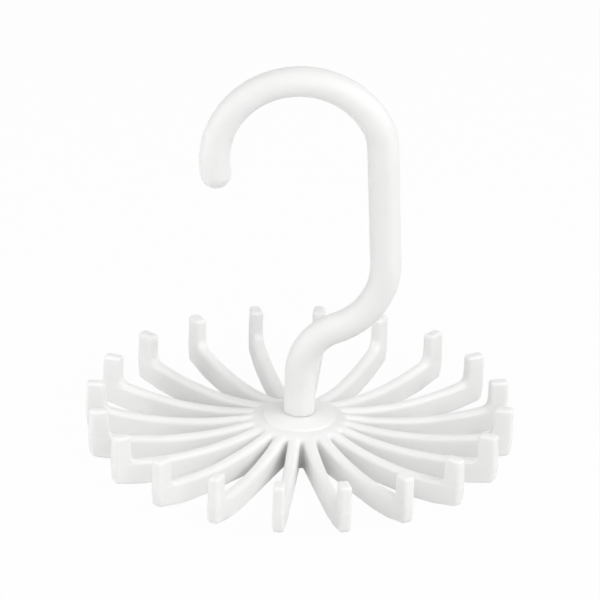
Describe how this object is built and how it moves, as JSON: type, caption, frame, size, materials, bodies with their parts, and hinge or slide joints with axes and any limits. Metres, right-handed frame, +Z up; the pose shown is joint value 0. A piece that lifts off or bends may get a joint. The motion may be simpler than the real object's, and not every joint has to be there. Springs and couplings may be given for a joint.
{
  "type": "rotating tie rack",
  "caption": "Tie rack: a hook for a closet rod carries a freely turning wheel of radial arms, each with an upturned finger at its end that keeps a tie from sliding off.",
  "frame": {"origin": "on the wheel's axis, in the plane of the wheel's underside", "axes": "+Z up along the wheel's axis, the hook in the XZ plane with its mouth towards -X, +Y away from the viewer"},
  "size_m": [0.1348, 0.1348, 0.1306],
  "materials": {
    "white_plastic": "satin",
    "zinc_plated_steel": "zinc plated"
  },
  "bodies": {
    "hook": {"hook": "white_plastic", "retaining_washer": "zinc_plated_steel", "retaining_screw": "zinc_plated_steel"},
    "wheel": {"wheel": "white_plastic"}
  },
  "joints": [
    {"name": "wheel_spin", "type": "hinge", "parent": "hook", "child": "wheel", "pos_m": [0, 0, 0.008], "axis": [0, 0, 1], "continuous": true}
  ]
}
